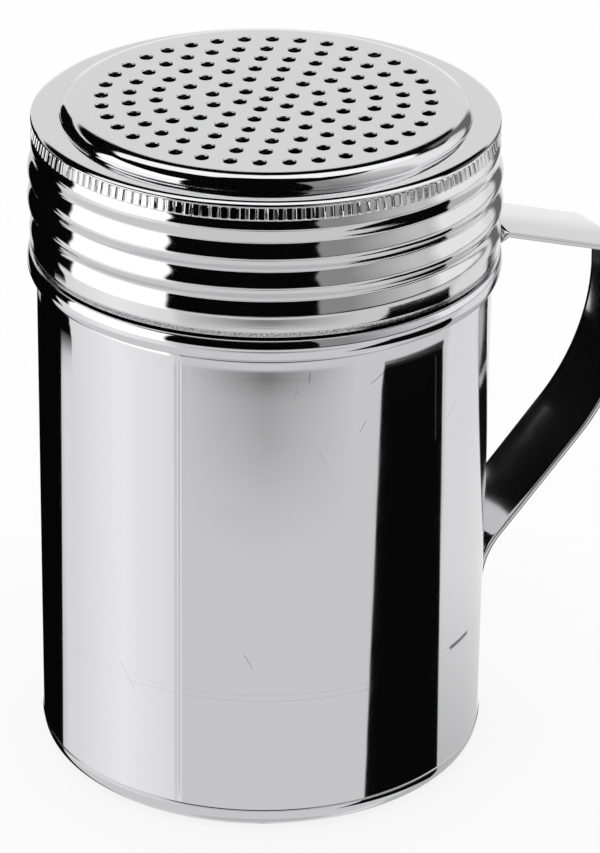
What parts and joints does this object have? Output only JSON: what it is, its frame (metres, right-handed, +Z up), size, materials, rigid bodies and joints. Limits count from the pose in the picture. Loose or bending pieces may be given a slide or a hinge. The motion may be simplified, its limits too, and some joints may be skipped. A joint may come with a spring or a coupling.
{
  "type": "handled dredge shaker",
  "caption": "Straight-sided metal shaker with a welded strap handle and a lift-off perforated lid that has ring beads and a knurled edge.",
  "frame": {"origin": "centre of the flat underside of the base, on the cup's axis", "axes": "+Z up along the cup's axis, +X towards the handle"},
  "size_m": [0.0932, 0.0688, 0.1016],
  "materials": {
    "polished_steel": "polished stainless sheet",
    "weld_bead": "ground and polished weld bead"
  },
  "bodies": {
    "cup": {"body_wall": "polished_steel", "base_pan": "polished_steel", "side_seam": "weld_bead", "base_seam": "weld_bead", "handle_strap": "polished_steel"},
    "lid": {"lid": "polished_steel"}
  },
  "joints": [
    {"name": "lid_lift", "type": "slide", "parent": "cup", "child": "lid", "axis": [0, 0, 1], "range_m": [0, 0.04]}
  ]
}
